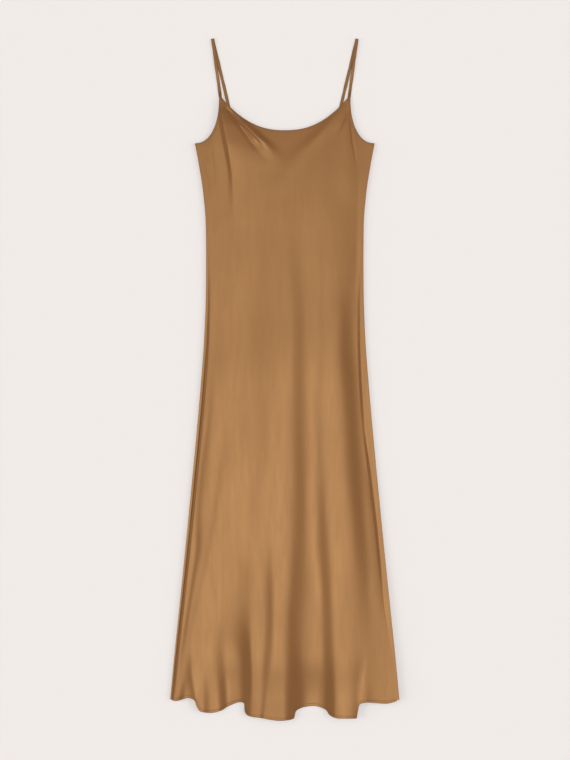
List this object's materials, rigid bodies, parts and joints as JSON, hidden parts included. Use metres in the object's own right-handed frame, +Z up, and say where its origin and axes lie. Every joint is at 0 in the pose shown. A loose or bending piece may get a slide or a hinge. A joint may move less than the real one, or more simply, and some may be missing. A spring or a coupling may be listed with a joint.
{
  "type": "slip dress",
  "caption": "Long bias-cut satin slip dress with a scooped neck and thin straps, laid flat with soft flutes that end in a lobed hem.",
  "frame": {"origin": "centre of the outline on the surface that the dress lies on", "axes": "+Y from the hem to the straps, +X to the right of the dress as seen from above, +Z up out of the surface"},
  "size_m": [0.4812, 1.4319, 0.0147],
  "materials": {
    "satin": "golden brown satin, soft sheen",
    "strap_satin": "the same satin, turned into a narrow strap"
  },
  "bodies": {
    "root": {"front_panel": "satin", "back_panel": "satin", "strap_left": "strap_satin", "strap_right": "strap_satin"}
  },
  "joints": []
}
